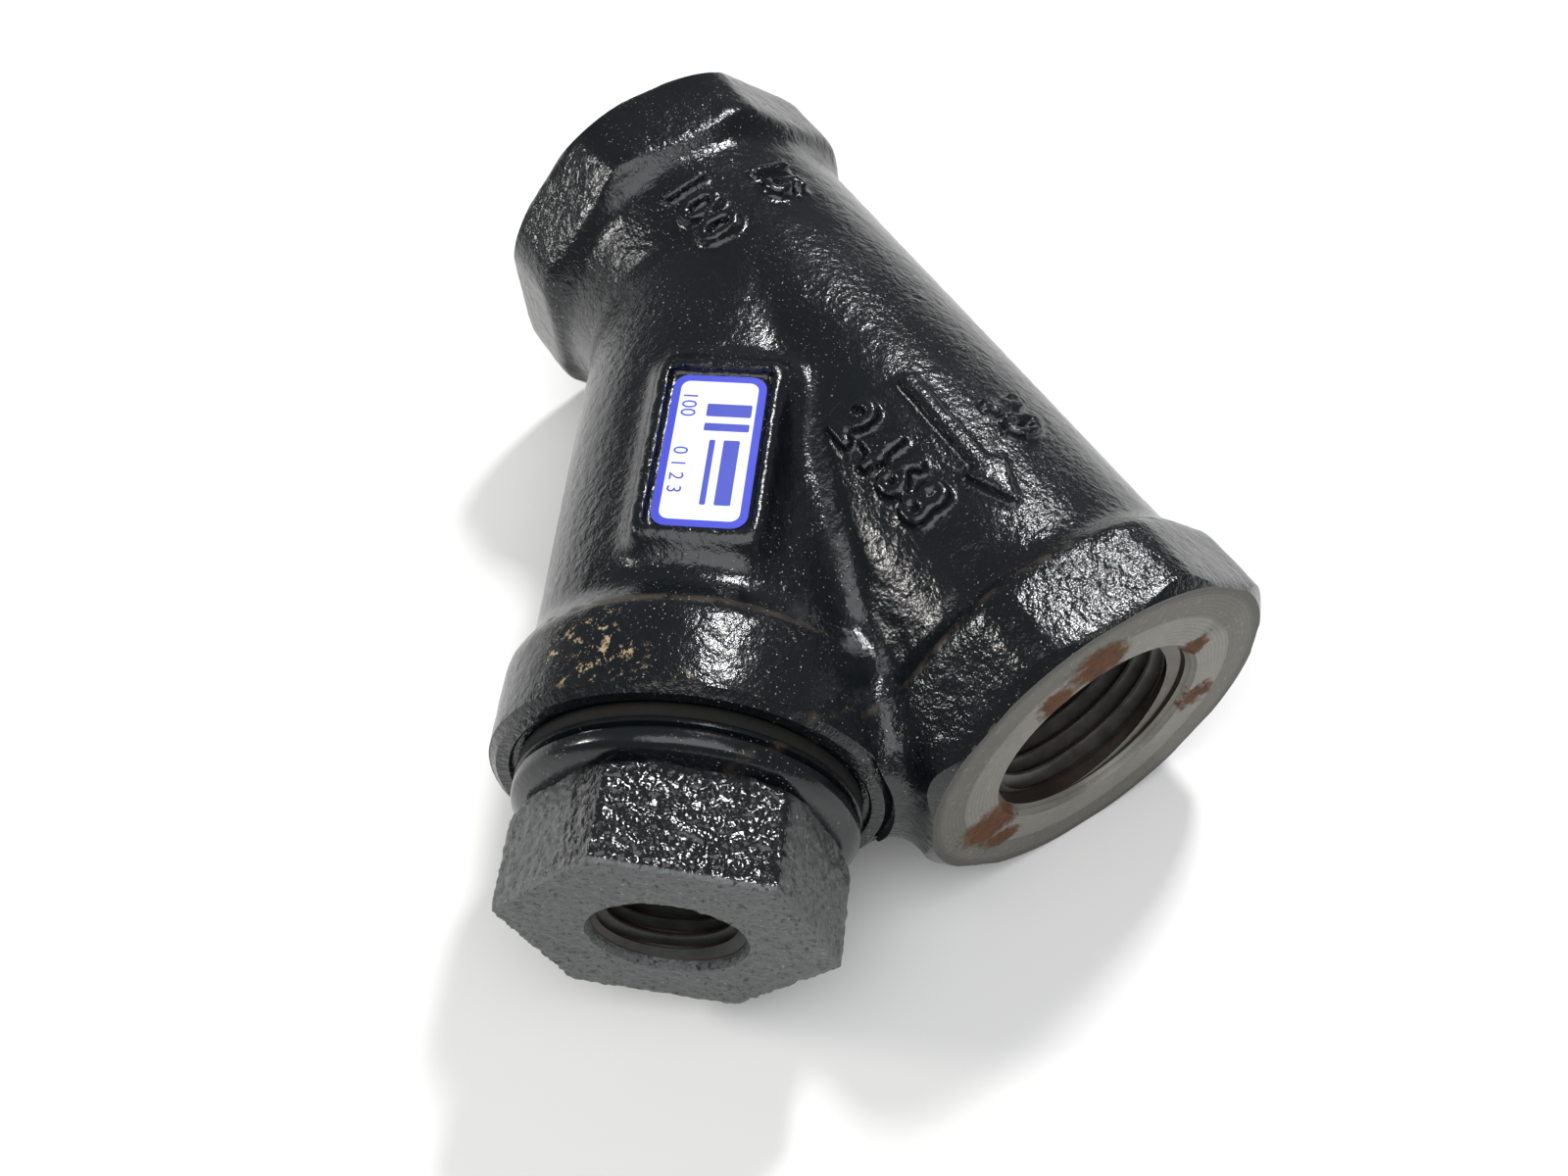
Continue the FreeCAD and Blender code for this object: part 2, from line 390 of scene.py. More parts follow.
# places on the collar where the enamel has flaked, in the branch's frame, with their radius
wornSpots = [
    ((52.4 * mm, -6.2 * mm, 17.6 * mm), 4.0 * mm),
    ((52.0 * mm, -9.8 * mm, 15.8 * mm), 3.4 * mm),
    ((48.6 * mm, -7.8 * mm, 16.8 * mm), 3.0 * mm),
]


def enamelFinish(name="blackEnamel", relief=1.0):
    # relief scales the orange peel: a turned flange has almost none
    finish = Finish(name)
    peel = finish.noise(1200, 3.0, 0.6)
    grit = finish.noise(2600, 2.0, 0.6)
    dents = finish.cells(1150)
    patchy = finish.noise(70, 3.0)
    # painted glints: sparse pale dots in the base colour
    paintedGlintSpecks = finish.step(finish.noise(4300, 1.0), 0.72, 0.75)
    paintedGlintSpecks = paintedGlintSpecks * finish.step(finish.noise(110, 3.0), 0.38, 0.58)
    base = finish.mix(patchy, (0.002, 0.003, 0.004), (0.006, 0.008, 0.010))
    # worn places: the collar's back edge, the outlet hub's shoulder and chips on the collar
    along, acrossBranch, height = finish.split(finish.node(
        "ShaderNodeMapping", {"vector_type": "TEXTURE"}, {
            "Vector": finish.place, "Location": tuple(crossing),
            "Rotation": (0, 0, branchFrame.to_euler().z)}))
    seam = finish.step((along - (collarFace - casting["collarBack"] - 0.2 * mm)).size(),
                       0.7 * mm, 0.1 * mm)
    seam = seam * finish.step(finish.noise(380, 3.0), 0.40, 0.60)
    onBranch = finish.step(acrossBranch, 13 * mm, 10 * mm)
    seam = seam * finish.step(height, 6 * mm, 12 * mm) * onBranch
    runAlong = finish.split(finish.place)[0]
    shoulder = finish.step((runAlong - (outletFace - casting["hubLength"] - 0.2 * mm)).size(),
                           0.6 * mm, 0.1 * mm)
    shoulder = shoulder * finish.step(finish.noise(420, 3.0), 0.42, 0.60)
    collarSkin = finish.step((along - (collarFace - 4.5 * mm)).size(), 4.6 * mm, 2.6 * mm)
    chips = finish.step(finish.noise(950, 5.0, 0.8), 0.565, 0.615)
    chips = chips * collarSkin * finish.step(height, 11 * mm, 15 * mm) * onBranch
    sparse = finish.step(finish.noise(150, 2.0), 0.52, 0.62) * 0.6
    for spot, size in wornSpots:
        sparse = sparse.atLeast(finish.near(branchFrame @ Vector(spot), size, (peel - 0.5) * (3 * mm)))
    chips = chips * sparse
    wear = seam.atLeast(shoulder * 0.7).atMost(1.0)
    base = finish.mix(wear * 0.45, base, (0.085, 0.058, 0.034))
    base = finish.mix(chips, base, (0.38, 0.28, 0.17))
    base = finish.mix(paintedGlintSpecks, base, (0.40, 0.38, 0.32))
    roughness = 0.13 + patchy * 0.12 + wear * 0.35 + chips * 0.35
    # thick enamel has run smooth in some patches, and shows the sand's grain in others
    rough = finish.step(finish.noise(62, 2.0), 0.40, 0.60, 0.25, 1.15)
    normal = finish.bump((peel - 0.5) * rough, relief * 0.15 * mm, 1.0)
    normal = finish.bump(dents, relief * 0.03 * mm, 0.8, normal)
    normal = finish.bump(grit, relief * 0.045 * mm, 1.0, normal)
    finish.give(Base_Color=base, Roughness=roughness, Normal=normal, Specular_IOR_Level=0.5)
    return finish.material


def bareIronFinish():
    finish = Finish("turnedIron")
    across, height = finish.split(finish.place)[1:]
    radius = (across * across + height * height).power(0.5)
    lines = (radius * (fullTurn / (0.42 * mm)) + finish.noise(300, 2.0) * 3).sine()
    fine = (radius * (fullTurn / (0.13 * mm)) + finish.noise(500, 2.0) * 2).sine()
    stain = finish.noise(260, 5.0, 0.65)
    blotch = finish.noise(90, 3.0)
    # the last cut of the facing tool stopped short of the rim, so the ring has two tones
    ring = finish.step(radius + (blotch - 0.5) * (0.5 * mm), 15.0 * mm, 14.7 * mm)
    scratches = finish.step(finish.noise(1800, 4.0, 0.7), 0.56, 0.70)
    iron = finish.mix(stain, (0.075, 0.072, 0.060), (0.19, 0.183, 0.155))
    iron = finish.mix(ring * 0.75, iron, finish.mix(stain, (0.17, 0.163, 0.14), (0.34, 0.33, 0.29)))
    iron = finish.mix(scratches * 0.35, iron, (0.42, 0.41, 0.37))
    iron = finish.mix(finish.step(blotch, 0.5, 0.68) * 0.5, iron, (0.09, 0.085, 0.065))
    iron = finish.mix(finish.step(radius, 17.2 * mm, 18.2 * mm) * 0.6, iron, (0.04, 0.04, 0.038))
    iron = finish.mix(finish.step(lines, 0.2, 1.0) * 0.25, iron, (0.06, 0.057, 0.05))
    rust = hubRust(finish)
    rusty = finish.mix(finish.noise(1100, 4.0), (0.028, 0.009, 0.002), (0.150, 0.050, 0.008))
    base = finish.mix(rust, iron, rusty)
    roughness = 0.40 + stain * 0.2 + rust * 0.4
    metallic = (1 - rust) * 0.7
    height = lines * 0.5 + fine * 0.3 + scratches * 0.8 + rust * finish.noise(1500, 3.0) * 4
    normal = finish.bump(height, 0.018 * mm, 0.8)
    finish.give(Base_Color=base, Roughness=roughness, Metallic=metallic, Normal=normal)
    return finish.material


def threadFinish(name, dark, bright, metallic):
    finish = Finish(name)
    stain = finish.noise(500, 3.0, 0.6)
    normal = finish.bump(finish.noise(2500, 2.0), 0.02 * mm, 0.6)
    finish.give(Base_Color=finish.mix(stain, dark, bright), Roughness=0.34 + stain * 0.25,
                Metallic=metallic, Normal=normal)
    return finish.material


# the casting: its cast blank first, and then the machined ways
casting = {
    "runRadius": 17.5 * mm,
    "hubRadius": 19.7 * mm,
    "hubFlat": 18.64 * mm,
    "hubLength": 8.6 * mm,
    "hubSlope": 1.4 * mm,
    "hubBevel": 1.05 * mm,
    "branchRoot": 17.4 * mm,
    "branchTip": 16.8 * mm,
    "collarRadius": 18.64 * mm,
    "collarBack": 9.2 * mm,
    "collarSlope": 2.6 * mm,
    "collarBevel": 0.7 * mm,
    "recessDepth": 0.5 * mm,
    "recessRadius": 16.4 * mm,
    "stock": 0.6 * mm,
    "padStart": 19.4 * mm,
    "padLength": 21.1 * mm,
    "padWidth": 12.4 * mm,
    "padTop": 18.6 * mm,
    "padRim": 1.3 * mm,
    "padDepth": 1.1 * mm,
    "padCorner": 0.8 * mm,
    "padBottom": 12 * mm,
    "runInset": 4 * mm,
    "collarLip": 0.35 * mm,
    "hubCutSpan": 20 * mm,
    "filletGrowth": 1.6 * mm,
    "coarseVoxel": 0.6 * mm,
    "fineVoxel": 0.27 * mm,
    "skinScale": 1.3 * mm,
    "skinHeight": 0.10 * mm,
    "triangles": 150000,
}
collarFace = gasketReach[0] + casting["recessDepth"]


def hubBlank(name, face, inward):
    # a turned hub with eight flats; inward is +1 at the inlet and -1 at the outlet
    size = casting
    foot = size["hubLength"] + size["hubSlope"]
    hub = turned(name, [(face + inward * along, radius) for along, radius in (
        (-size["stock"], 0),
        (-size["stock"], size["hubRadius"]),
        (size["hubLength"], size["hubRadius"]),
        (foot, size["runRadius"] - mm),
        (foot, 0))])
    corner = size["hubFlat"] / math.cos(fullTurn / 16)
    start, end = sorted((face - inward * 2 * mm, face + inward * size["hubCutSpan"]))
    octagon = rod(name + "Flats", start, end, corner, corner, sides=8, phase=fullTurn / 16)
    return cut(hub, octagon, "INTERSECT")


def block(name, start, length, width, bottom, height):
    # a block in the branch's frame, with its upright edges rounded and its top drawn in
    deselectAll()
    bpy.ops.mesh.primitive_cube_add(size=1, location=(start + length / 2, 0, bottom + height / 2),
                                    scale=(length, width, height))
    return settle(roundUprights(settle(named(name)), height, casting["padCorner"], 4), branchFrame)


def castBlank():
    size = casting
    run = rod("run", inletFace + size["runInset"], outletFace - size["runInset"],
              size["runRadius"], size["runRadius"])
    inletHub = hubBlank("inletHub", inletFace, 1)
    outletHub = hubBlank("outletHub", outletFace, -1)
    slopeEnd = collarFace - size["collarBack"]
    branch = settle(turned("branch", [
        (0, 0),
        (0, size["branchRoot"]),
        (slopeEnd - size["collarSlope"], size["branchTip"]),
        (slopeEnd, size["collarRadius"] - size["collarLip"]),
        (slopeEnd + 0.4 * mm, size["collarRadius"]),
        (collarFace + size["stock"], size["collarRadius"]),
        (collarFace + size["stock"], 0),
    ]), branchFrame)
    pad = block("pad", size["padStart"], size["padLength"], size["padWidth"], size["padBottom"],
                size["padTop"] - size["padBottom"])
    piece = join([run, inletHub, outletHub, branch, pad])
    # growing and shrinking again fills the inner corners with round fillets
    modify(piece, "REMESH", mode="VOXEL", voxel_size=size["coarseVoxel"])
    modify(piece, "DISPLACE", strength=size["filletGrowth"], mid_level=0)
    modify(piece, "REMESH", mode="VOXEL", voxel_size=size["coarseVoxel"])
    modify(piece, "DISPLACE", strength=-size["filletGrowth"], mid_level=0)
    modify(piece, "REMESH", mode="VOXEL", voxel_size=size["coarseVoxel"])
    modify(piece, "SMOOTH", factor=0.5, iterations=4)
    return piece


marks = {
    "height": 1.05 * mm,
    "sunk": 0.6 * mm,
    "stroke": 0.03 * mm,
    "round": 0.22 * mm,
    # text, place along the run from the crossing, place across it, letter size, letter spacing
    "texts": [
        ("100", -9.2 * mm, -5.4 * mm, 6.2 * mm, 1.15),
        ("15", -6.6 * mm, 3.6 * mm, 5.6 * mm, 1.1),
        ("2468", 26.4 * mm, -7.7 * mm, 6.2 * mm, 1.2),
        ("30", 32.4 * mm, 5.2 * mm, 5.4 * mm, 1.1),
    ],
    # flow arrow: where its tail starts, its length and widths
    "arrow": (26.6 * mm, 0.7 * mm, 17.6 * mm, 5.0 * mm, 0.8 * mm, 2.1 * mm),
}


def wrapRound(piece, radius):
    # lays a flat piece on the run: x stays along it, y goes round it and z out of it
    for vertex in piece.data.vertices:
        along, around, out = vertex.co
        angle = around / radius
        vertex.co = (crossing.x + along, (radius + out) * math.sin(angle), (radius + out) * math.cos(angle))
    return piece


def castText(text, along, acrossRun, letterSize, spacing):
    deselectAll()
    bpy.ops.object.text_add(location=(along, acrossRun, (marks["height"] - marks["sunk"]) / 2))
    words = bpy.context.active_object
    words.data.body = text
    words.data.size = letterSize
    words.data.space_character = spacing
    words.data.offset = marks["stroke"]
    words.data.extrude = (marks["height"] + marks["sunk"]) / 2 - marks["round"]
    words.data.bevel_depth = marks["round"]
    words.data.bevel_resolution = 1
    words.data.resolution_u = 4
    bpy.ops.object.convert(target="MESH")
    return wrapRound(settle(named("mark" + text)), casting["runRadius"])


def flowArrow():
    tail, side, length, head, half, headHalf = marks["arrow"]
    neck = tail + length - head
    piece = pointAt("flowArrow", (tail, side - half, -marks["sunk"]))
    corners = [(tail, -half), (neck, -half), (neck, -headHalf), (tail + length, 0),
               (neck, headHalf), (neck, half), (tail, half)]
    for (x, y), (nextX, nextY) in zip(corners, corners[1:]):
        bpy.ops.mesh.extrude_region_move(TRANSFORM_OT_translate={"value": (nextX - x, nextY - y, 0)})
    bpy.ops.mesh.select_all(action="SELECT")
    bpy.ops.mesh.edge_face_add()
    bpy.ops.mesh.extrude_region_move(
        TRANSFORM_OT_translate={"value": (0, 0, marks["height"] + marks["sunk"])})
    bpy.ops.mesh.select_all(action="SELECT")
    bpy.ops.mesh.normals_make_consistent(inside=False)
    bpy.ops.object.mode_set(mode="OBJECT")
    return wrapRound(settle(piece), casting["runRadius"])


def castDetails(piece):
    size = casting
    piece = join([piece, flowArrow()] + [castText(*text) for text in marks["texts"]])
    modify(piece, "REMESH", mode="VOXEL", voxel_size=size["fineVoxel"])
    recess = block("padRecess", size["padStart"] + size["padRim"], size["padLength"] - 2 * size["padRim"],
                   size["padWidth"] - 2 * size["padRim"], size["padTop"] - size["padDepth"], 4 * mm)
    cut(piece, recess)
    modify(piece, "REMESH", mode="VOXEL", voxel_size=size["fineVoxel"])
    modify(piece, "SMOOTH", factor=0.5, iterations=4)
    skin = bpy.data.textures.new("castSkin", "CLOUDS")
    skin.noise_scale = size["skinScale"]
    skin.noise_depth = 1
    modify(piece, "DISPLACE", texture=skin, texture_coords="LOCAL", strength=size["skinHeight"],
           mid_level=0.5)
    faces = len(piece.data.polygons) * 2
    modify(piece, "DECIMATE", ratio=min(1.0, size["triangles"] / faces))
    return piece


ways = {
    "mouthRadius": 11.3 * mm,
    "mouthDepth": 0.9 * mm,
    "mouthFlare": 0.6 * mm,
    "wayShoulder": 2 * mm,
    "recessFlare": 0.45 * mm,
    "threadWall": 10.65 * mm,
    "portDepth": 14 * mm,
    "wayRadius": 8.2 * mm,
    "coreRadius": 12.4 * mm,
    "partition": 17.2 * mm,
    "seatReach": 8.0 * mm,
    "seatDepth": 3.0 * mm,
    "seatRadius": 10.6 * mm,
    "chamberRadius": 13.0 * mm,
    "capWall": 14.5 * mm,
    "capBoreDepth": 12.8 * mm,
}


def faceTrim(name, face, outward, radius, bevel, rim):
    # the lathe tool that faces an end flat and chamfers its rim
    return turned(name, [(face + outward * along, height) for along, height in (
        (0, 0),
        (0, radius - bevel),
        (-bevel, radius),
        (-bevel, rim),
        (3 * mm, rim),
        (3 * mm, 0))])


def runWay(name, face, inward, throat, end):
    # a countersunk, tapped mouth and the plain way behind it; inward is +1 at the inlet
    inner = face + inward * ways["portDepth"]
    return turned(name, [
        (face - inward * mm, 0),
        (face - inward * mm, ways["mouthRadius"] + ways["mouthFlare"]),
        (face, ways["mouthRadius"]),
        (face + inward * ways["mouthDepth"], ways["threadWall"]),
        (inner, ways["threadWall"] - ways["portDepth"] * pipeTaper),
        (inner + inward * ways["wayShoulder"], throat),
        (end, throat),
        (end, 0)])


def machine(piece):
    size = casting
    rim = size["hubRadius"] + 2 * mm
    cut(piece, faceTrim("inletTrim", inletFace, -1, size["hubRadius"], size["hubBevel"], rim))
    cut(piece, faceTrim("outletTrim", outletFace, 1, size["hubRadius"], size["hubBevel"], rim))
    collarTrim = faceTrim("collarTrim", collarFace, 1, size["collarRadius"] - 0.1 * mm,
                          size["collarBevel"], size["collarRadius"] + 0.15 * mm)
    cut(piece, settle(collarTrim, branchFrame))
    cut(piece, runWay("inletWay", inletFace, 1, ways["wayRadius"], crossing.x))
    cut(piece, runWay("outletWay", outletFace, -1, ways["coreRadius"], crossing.x + ways["partition"]))
    boreStart = gasketReach[0] - ways["capBoreDepth"]
    branchWay = turned("branchWay", [
        (-ways["wayRadius"] / 2, 0),
        (-ways["wayRadius"] / 2, ways["wayRadius"] * 0.8),
        (0, ways["wayRadius"]),
        (ways["seatReach"], ways["wayRadius"]),
        (ways["seatReach"], ways["seatRadius"]),
        (ways["seatReach"] + ways["seatDepth"], ways["seatRadius"]),
        (ways["seatReach"] + ways["seatDepth"], ways["chamberRadius"]),
        (boreStart, ways["chamberRadius"]),
        (boreStart, ways["capWall"]),
        (gasketReach[0], ways["capWall"]),
        (gasketReach[0], size["recessRadius"]),
        (collarFace - 0.25 * mm, size["recessRadius"]),
        (collarFace + 0.2 * mm, size["recessRadius"] + ways["recessFlare"]),
        (collarFace + mm, size["recessRadius"] + ways["recessFlare"]),
        (collarFace + mm, 0)])
    cut(piece, settle(branchWay, branchFrame))
    return piece


def paintCasting(piece):
    # slot 0 enamel, slot 1 turned faces, slot 2 the bores
    coat(piece, enamelFinish(), bareIronFinish(),
         threadFinish("borePrimer", (0.012, 0.010, 0.009), (0.05, 0.032, 0.022), 0.3))
    for face in piece.data.polygons:
        middle = face.center
        radius = math.hypot(middle.y, middle.z)
        fromBranch = middle - crossing
        along = fromBranch.dot(branchAxis)
        aside = (fromBranch - branchAxis * along).length
        atEnd = min(abs(middle.x - inletFace), abs(middle.x - outletFace)) < ways["mouthDepth"] + 0.02 * mm
        if atEnd and abs(face.normal.x) > 0.55 and radius < casting["hubRadius"] - casting["hubBevel"]:
            face.material_index = 1
        elif radius < ways["coreRadius"] + 0.2 * mm or (aside < ways["capWall"] + 0.2 * mm and along > 0):
            face.material_index = 2
    return piece


body = machine(castDetails(castBlank()))
body.name = "bodyCasting"
paintCasting(body)
smoothBy(body, 32)
print("casting made", len(body.data.polygons))
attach(body, "strainer_body")
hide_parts("body_casting")

# threads: one helical ridge in each tapped way
def ridge(name, start, inward, wall, pitch, turns, crest, taper=0.0, steps=72):
    # a ridge of triangular section that winds along X; crest is its height off the wall,
    # positive towards the axis in a hole and negative on a shank
    sunk = 0.12 * mm * math.copysign(1, crest)
    half = pitch * 0.46
    flat = pitch * 0.07
    piece = pointAt(name, (start - half, 0, wall + sunk))
    corners = [(-half, sunk), (-flat, -crest), (flat, -crest), (half, sunk)]
    for (x, z), (nextX, nextZ) in zip(corners, corners[1:]):
        bpy.ops.mesh.extrude_region_move(TRANSFORM_OT_translate={"value": (nextX - x, 0, nextZ - z)})
    bpy.ops.mesh.select_all(action="DESELECT")
    bpy.ops.object.mode_set(mode="OBJECT")
    for index in (0, len(corners) - 1):
        piece.data.vertices[index].select = True
    bpy.ops.object.mode_set(mode="EDIT")
    bpy.ops.mesh.edge_face_add()
    bpy.ops.object.mode_set(mode="OBJECT")
    modify(piece, "SCREW", axis="X", angle=fullTurn * turns, screw_offset=inward * pitch * turns,
           iterations=1, steps=int(steps * turns), render_steps=int(steps * turns))
    closeEnds(piece)
    # a pipe thread narrows inwards
    for vertex in piece.data.vertices:
        shrink = 1 - taper * abs(vertex.co.x - start) / wall
        vertex.co.y *= shrink
        vertex.co.z *= shrink
    return piece


def portThread(name, face, inward, wall, pitch, turns, mouth, depth, matrix=None):
    piece = ridge(name, face + inward * pitch * 0.5, inward, wall, pitch, turns, pitch * 0.72,
                  pipeTaper)
    # the countersink cuts the first turn back to a feather
    sink = turned(name + "Sink", [(face + inward * along, radius) for along, radius in (
        (-2 * mm, 0),
        (-2 * mm, mouth + 0.4 * mm),
        (0, mouth + 0.4 * mm),
        (depth * 2.6, wall - pitch * 0.8),
        (depth * 2.6, 0))])
    cut(piece, sink)
    if matrix:
        settle(piece, matrix)
    smoothBy(piece, 50)
    return piece


thread = {
    "runPitch": 1.814 * mm,
    "runTurns": 6.4,
    "capPitch": 1.411 * mm,
    "capTurns": 6.0,
    "capWall": 6.85 * mm,
    "capMouth": 7.3 * mm,
    "capDepth": 0.9 * mm,
    "bonnetPitch": 2.0 * mm,
    "bonnetTurns": 5.4,
    "shankTurns": 4.2,
    "shankCore": 12.75 * mm,
    "shankCrest": 0.82 * mm,
}
ironThread = threadFinish("cutThread", (0.08, 0.076, 0.070), (0.26, 0.245, 0.22), 0.75)
for name, face, inward in (("inletThread", inletFace, 1), ("outletThread", outletFace, -1)):
    piece = portThread(name, face, inward, ways["threadWall"], thread["runPitch"], thread["runTurns"],
                       ways["mouthRadius"], ways["mouthDepth"])
    coat(piece, ironThread)
    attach(piece, "strainer_body")

collarThread = settle(ridge("collarThread", gasketReach[0] - 1.2 * mm, -1, ways["capWall"],
                            thread["bonnetPitch"], thread["bonnetTurns"], 0.78 * mm), branchFrame)
coat(collarThread, ironThread)
smoothBy(collarThread, 50)
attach(collarThread, "strainer_body")
print("threads made")

# the cap: cast hexagon head, turned flange and threaded shank
cap = {
    "flangeRadius": 15.9 * mm,
    "flangeEnd": capReach[1] - 10.6 * mm,
    "grooveInset": 0.55 * mm,
    "grooveWidth": 0.7 * mm,
    "grooveDepth": 0.55 * mm,
    "hexFlat": 13.5 * mm,
    "hexPhase": 11.7,
    "hexBevel": 1.6 * mm,
    "pocket": 3.0 * mm,
    "pocketRadius": 10.6 * mm,
    "hollow": 9.0 * mm,
    "portDepth": 10.2 * mm,
    "voxel": 0.26 * mm,
    "sandScale": 0.8 * mm,
    "sandHeight": 0.40 * mm,
    "round": 0.35 * mm,
}


def capWay():
    # everything that is hollow in the cap, from the screen's pocket to the tapped port
    front = capReach[1]
    wall = thread["capWall"]
    inner = front - cap["portDepth"]
    return turned("capWay", [
        (capReach[0] - mm, 0),
        (capReach[0] - mm, cap["pocketRadius"]),
        (capReach[0] + cap["pocket"], cap["pocketRadius"]),
        (capReach[0] + cap["pocket"], cap["hollow"]),
        (inner - 2.4 * mm, cap["hollow"]),
        (inner, wall - cap["portDepth"] * pipeTaper),
        (front - thread["capDepth"], wall),
        (front, thread["capMouth"]),
        (front + mm, thread["capMouth"] + 0.4 * mm),
        (front + mm, 0)])


def sandFinish():
    # black enamel over coarse cast iron
    finish = Finish("coarseEnamel")
    coarse = finish.noise(1050, 1.5, 0.5)
    grit = finish.noise(3000, 3.0, 0.6)
    patchy = finish.noise(120, 3.0)
    along, aside, height = finish.split(finish.node("ShaderNodeMapping", {"vector_type": "TEXTURE"}, {
        "Vector": finish.place, "Location": tuple(crossing),
        "Rotation": (0, 0, branchFrame.to_euler().z)}))
    # the enamel lies thick and glossy on the upper flats and thin and matte on the front and sides; there the
    # lighter grey base colour is a painted reflection of the pale table
    front = finish.step(along, capReach[1] - 0.75 * mm, capReach[1] - 0.4 * mm)
    sideways = finish.step(height + (coarse - 0.5) * (1.6 * mm), cap["hexFlat"] - 2.0 * mm,
                           cap["hexFlat"] - 3.4 * mm) * 0.7
    pits = finish.step(finish.noise(1500, 3.0, 0.7), 0.42, 0.34)
    base = finish.mix(patchy, (0.004, 0.005, 0.006), (0.010, 0.011, 0.012))
    dullAndPaintedReflection = (front + sideways).atMost(1.0)
    # painted reflection: the front and sides get a lighter grey base colour in place of the mirrored table; the
    # same mask also makes them rougher
    base = finish.mix(dullAndPaintedReflection, base, finish.mix(grit, (0.045, 0.050, 0.049), (0.13, 0.137, 0.133)))
    # painted shade: the sunk pits get a near-black base colour
    base = finish.mix(pits * 0.8, base, (0.012, 0.013, 0.013))
    # painted glints: sparse pale dots in the base colour
    paintedGlintSpecks = finish.step(finish.noise(3300, 1.0), 0.72, 0.76)
    base = finish.mix(paintedGlintSpecks, base, (0.30, 0.29, 0.26))
    normal = finish.bump(coarse, 0.30 * mm, 1.0)
    normal = finish.bump(grit * (0.25 + dullAndPaintedReflection) - pits, 0.08 * mm, 1.0, normal)
    finish.give(Base_Color=base, Roughness=0.10 + patchy * 0.08 + dullAndPaintedReflection * 0.34, Normal=normal)
    return finish.material


def capHead():
    corner = cap["hexFlat"] / math.cos(fullTurn / 12)
    start = cap["flangeEnd"]
    end = capReach[1]
    head = rod("capHead", start - 1.2 * mm, end, corner, corner, sides=6,
               phase=-math.radians(cap["hexPhase"]))
    lift = corner - cap["hexFlat"]
    envelope = turned("hexEnvelope", [
        (start - 2 * mm, 0),
        (start - 2 * mm, cap["hexFlat"] - 0.2 * mm),
        (start, cap["hexFlat"] - 0.1 * mm),
        (start + 2 * cap["hexBevel"], cap["hexFlat"] + 2 * lift),
        (end + mm, cap["hexFlat"] + 2 * lift),
        (end + mm, 0)])
    cut(head, envelope, "INTERSECT")
    modify(head, "REMESH", mode="VOXEL", voxel_size=cap["voxel"])
    modify(head, "SMOOTH", factor=0.5, iterations=4)
    sand = bpy.data.textures.new("capSand", "CLOUDS")
    sand.noise_scale = cap["sandScale"]
    sand.noise_depth = 2
    modify(head, "DISPLACE", texture=sand, texture_coords="LOCAL", strength=cap["sandHeight"],
           mid_level=0.66)
    return head


def capShank():
    start = capReach[0]
    core = thread["shankCore"]
    flange = cap["flangeRadius"]
    rear = gasketReach[1]
    groove = rear + cap["grooveInset"]
    end = cap["flangeEnd"]
    edge = cap["round"]
    return turned("capShank", [
        (start, 0),
        (start, core - 0.3 * mm),
        (start + 0.3 * mm, core),
        (rear - 0.8 * mm, core),
        (rear, core + 0.4 * mm),
        (rear, flange - edge * 0.5),
        (rear + edge * 0.5, flange),
        (groove, flange),
        (groove + cap["grooveWidth"] * 0.3, flange - cap["grooveDepth"]),
        (groove + cap["grooveWidth"] * 0.7, flange - cap["grooveDepth"]),
        (groove + cap["grooveWidth"], flange),
        (end - 0.6 * mm, flange),
        (end - 0.2 * mm, flange - 0.2 * mm),
        (end + 0.2 * mm, flange - 0.9 * mm),
        (end + 0.8 * mm, cap["hexFlat"] - 0.3 * mm),
        (end + 0.8 * mm, 0)])


head = settle(cut(capHead(), capWay()), branchFrame)
shank = settle(cut(capShank(), capWay()), branchFrame)
sand = sandFinish()
primer = threadFinish("redPrimer", (0.010, 0.005, 0.004), (0.05, 0.012, 0.009), 0.0)
flangeEnamel = enamelFinish("flangeEnamel", 0.25)
for piece, skin, name in ((head, sand, "capHead"), (shank, flangeEnamel, "capFlange")):
    piece.name = name
    coat(piece, skin, primer)
    for face in piece.data.polygons:
        fromBranch = face.center - crossing
        along = fromBranch.dot(branchAxis)
        aside = (fromBranch - branchAxis * along).length
        inPort = aside < thread["capWall"] + 0.05 * mm
        inPort = inPort and along < capReach[1] - thread["capDepth"] - 0.1 * mm
        if inPort or (aside < cap["pocketRadius"] + 0.1 * mm and along < cap["flangeEnd"]):
            face.material_index = 1
    smoothBy(piece, 35)
    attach(piece, "cap")
    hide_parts("hex_cap")

portIron = threadFinish("portIron", (0.014, 0.014, 0.013), (0.075, 0.072, 0.064), 0.5)
blowThread = portThread("blowOffThread", capReach[1], -1, thread["capWall"], thread["capPitch"],
                        thread["capTurns"], thread["capMouth"], thread["capDepth"], branchFrame)
shankThread = settle(ridge("shankThread", capReach[0] + 1.2 * mm, 1, thread["shankCore"],
                           thread["bonnetPitch"], thread["shankTurns"], -thread["shankCrest"]), branchFrame)
for piece, metal in ((blowThread, portIron), (shankThread, ironThread)):
    coat(piece, metal)
    smoothBy(piece, 50)
    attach(piece, "cap")
print("cap made", len(head.data.polygons))

# the gasket: a flat ring with rounded edges
ring = {"inner": 13.95 * mm, "outer": 15.85 * mm, "round": 0.35 * mm}


def gasketRing():
    low, high = gasketReach
    edge = ring["round"]
    piece = turned("capGasket", [
        (low, ring["inner"] + edge),
        (low, ring["outer"] - edge),
        (low + edge * 0.3, ring["outer"] - edge * 0.3),
        (low + edge, ring["outer"]),
        (high - edge, ring["outer"]),
        (high - edge * 0.3, ring["outer"] - edge * 0.3),
        (high, ring["outer"] - edge),
        (high, ring["inner"] + edge),
        (high - edge, ring["inner"]),
        (low + edge, ring["inner"])], closed=True)
    return smoothBy(settle(piece, branchFrame), 50)


